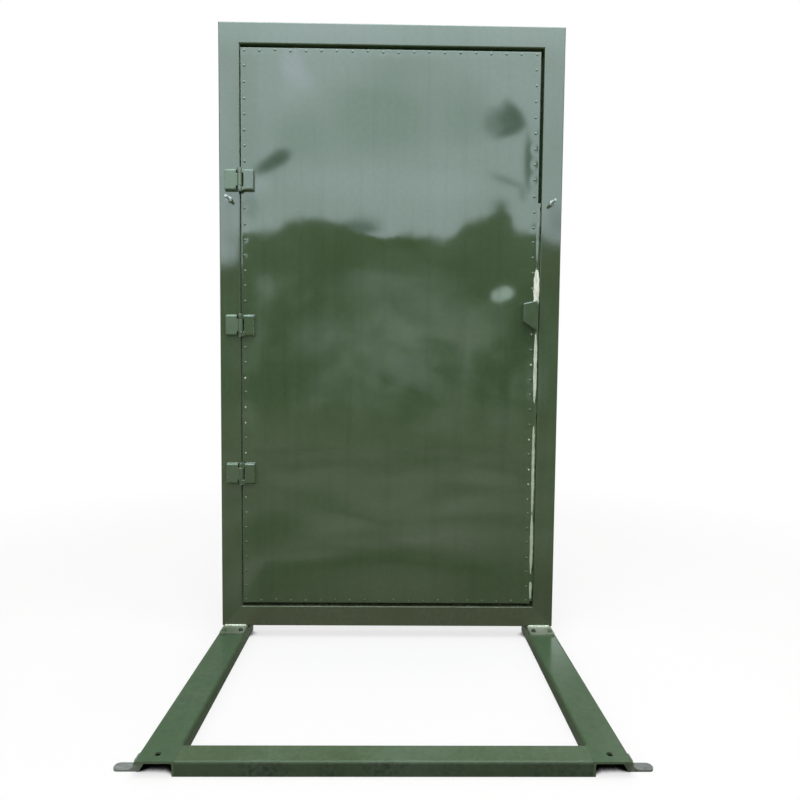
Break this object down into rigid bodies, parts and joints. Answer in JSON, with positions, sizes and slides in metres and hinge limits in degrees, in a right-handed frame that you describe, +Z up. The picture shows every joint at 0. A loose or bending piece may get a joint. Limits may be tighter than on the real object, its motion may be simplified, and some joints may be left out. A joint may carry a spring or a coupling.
{
  "type": "free-standing steel door on a floor stand",
  "caption": "Flush steel door leaf on surface hinges in a welded tube frame, bolted to a low U-shaped floor stand that reaches forward from it.",
  "frame": {"origin": "centre of the footprint, on the floor", "axes": "+Z up, -Y towards the viewer, the side the leaf opens to and the stand reaches to, +X to the viewer's right"},
  "size_m": [1.232, 0.72, 2.021],
  "materials": {
    "olive_paint": "gloss",
    "zinc_bolt": "satin",
    "worn_ear": "worn satin",
    "hinge_pin": "worn gloss"
  },
  "bodies": {
    "frame": {"head_rail": "olive_paint", "sill_rail": "olive_paint", "hinge_jamb": "olive_paint", "latch_jamb": "olive_paint", "stop_head": "olive_paint", "stop_sill": "olive_paint", "stop_hinge_side": "olive_paint", "stop_latch_side": "olive_paint", "stand_beam": "olive_paint", "jamb_hinge_upper": "olive_paint", "jamb_hinge_middle": "olive_paint", "jamb_hinge_lower": "olive_paint", "hinge_pin_upper": "hinge_pin", "hinge_pin_middle": "hinge_pin", "hinge_pin_lower": "hinge_pin", "brace_bolt_left": "zinc_bolt", "stand_arm_left": "olive_paint", "stand_ear_left": "worn_ear", "foot_plate_left": "olive_paint", "brace_bolt_right": "zinc_bolt", "stand_arm_right": "olive_paint", "stand_ear_right": "worn_ear", "foot_plate_right": "olive_paint"},
    "leaf": {"leaf_skin": "olive_paint", "leaf_hinge_stile": "olive_paint", "leaf_latch_stile": "olive_paint", "leaf_top_rail": "olive_paint", "leaf_upper_rail": "olive_paint", "leaf_middle_rail": "olive_paint", "leaf_lower_rail": "olive_paint", "leaf_bottom_rail": "olive_paint", "pull_guard": "olive_paint", "leaf_hinge_upper": "olive_paint", "leaf_hinge_middle": "olive_paint", "leaf_hinge_lower": "olive_paint"}
  },
  "joints": [
    {"name": "leaf_swing", "type": "hinge", "parent": "frame", "child": "leaf", "pos_m": [-0.49, 0.291, 1], "axis": [0, 0, -1], "range_deg": [0, 120]}
  ]
}
